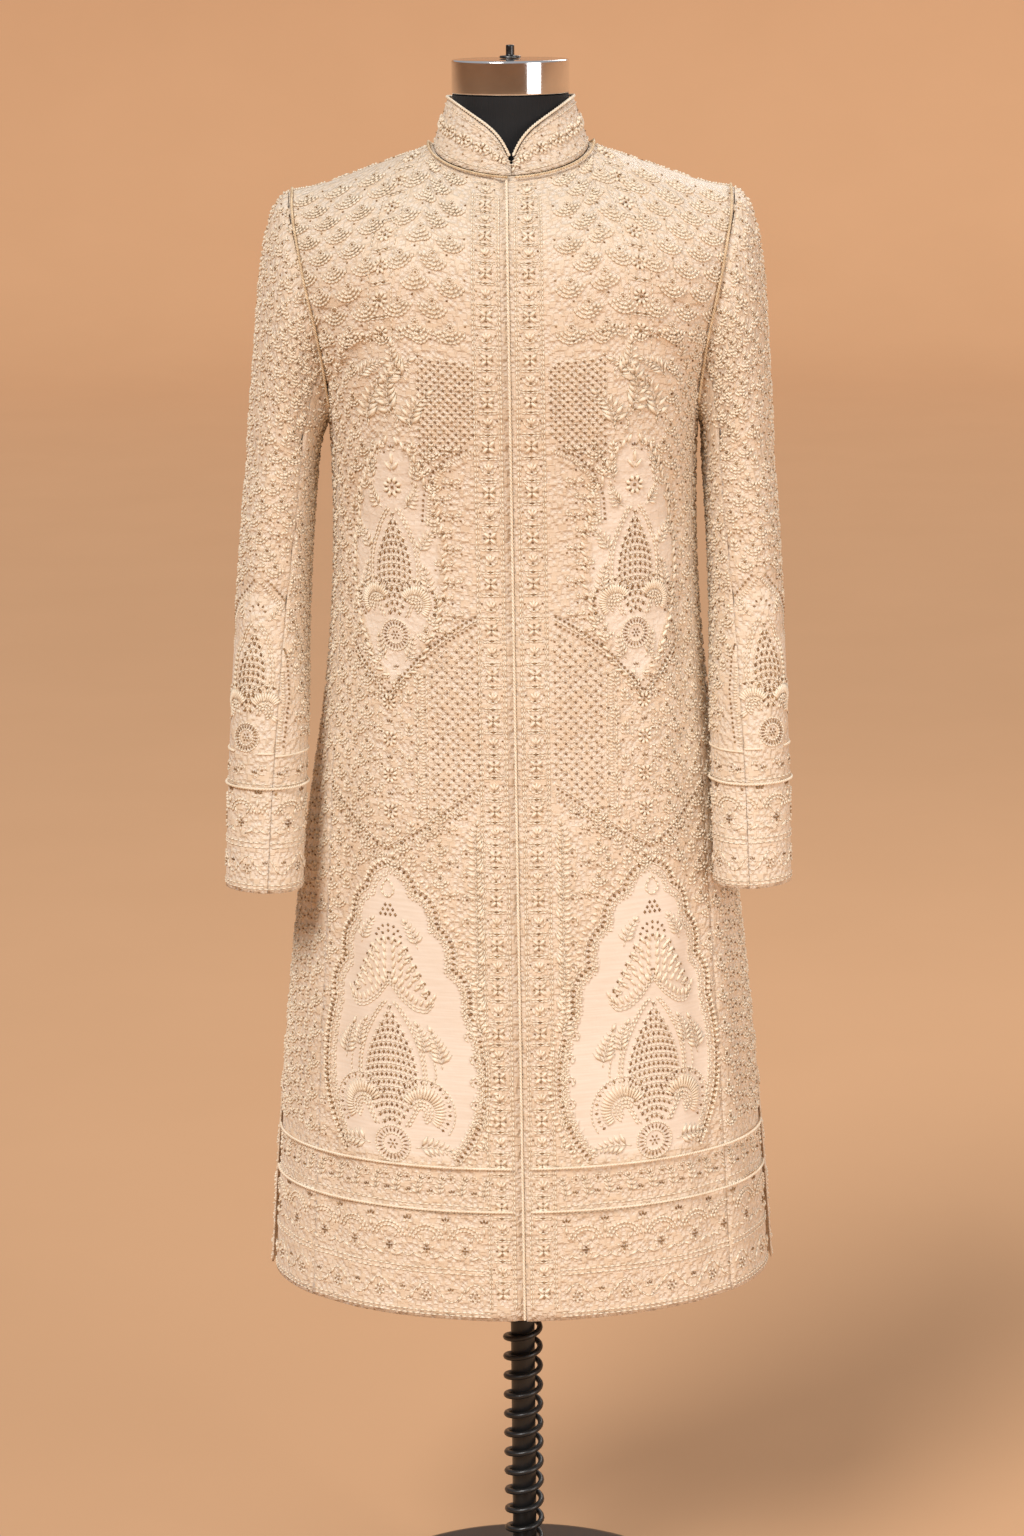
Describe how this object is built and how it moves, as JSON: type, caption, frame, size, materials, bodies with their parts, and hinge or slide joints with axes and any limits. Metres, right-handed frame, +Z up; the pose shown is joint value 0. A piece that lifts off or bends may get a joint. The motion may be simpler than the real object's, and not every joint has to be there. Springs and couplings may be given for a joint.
{
  "type": "sherwani coat on a dress form",
  "caption": "Knee-length embroidered coat with a stand collar, open fronts and hollow sleeves, worn by a limbless dress form on a spring pole and round base.",
  "frame": {"origin": "on the floor, at the centre of the base's underside, under the pole", "axes": "+Z up along the pole, -Y towards the coat's front, +X towards the wearer's left"},
  "size_m": [0.5486, 0.38, 1.5978],
  "materials": {
    "ivory_cloth": "woven silk blend, soft sheen",
    "cream_thread": "satin-stitched rayon thread",
    "gold_cord": "twisted antique-gold cord",
    "antique_gold_bead": "small dull metal beads and sequins",
    "black_jersey": "matt knitted cover",
    "black_paint": "satin black",
    "chrome": "polished",
    "dark_steel": "dark, satin"
  },
  "bodies": {
    "root": {"left_front": "ivory_cloth", "right_front": "ivory_cloth", "left_side": "ivory_cloth", "right_side": "ivory_cloth", "back": "ivory_cloth", "collar": "ivory_cloth", "left_upper_sleeve": "ivory_cloth", "left_under_sleeve": "ivory_cloth", "right_upper_sleeve": "ivory_cloth", "right_under_sleeve": "ivory_cloth", "collar_piping": "cream_thread", "front_piping": "cream_thread", "left_cuff_cord": "cream_thread", "right_cuff_cord": "cream_thread", "left_upper_hem_cord": "cream_thread", "left_lower_hem_cord": "cream_thread", "right_upper_hem_cord": "cream_thread", "right_lower_hem_cord": "cream_thread", "neck_cord": "gold_cord", "left_armhole_cord": "gold_cord", "right_armhole_cord": "gold_cord", "torso": "black_jersey", "neck_cap": "chrome", "cap_pin": "dark_steel", "torso_socket": "black_paint", "pole": "black_paint", "spring": "black_paint", "spring_foot_ring": "black_paint", "spring_head_ring": "black_paint", "base": "black_paint"}
  },
  "joints": []
}
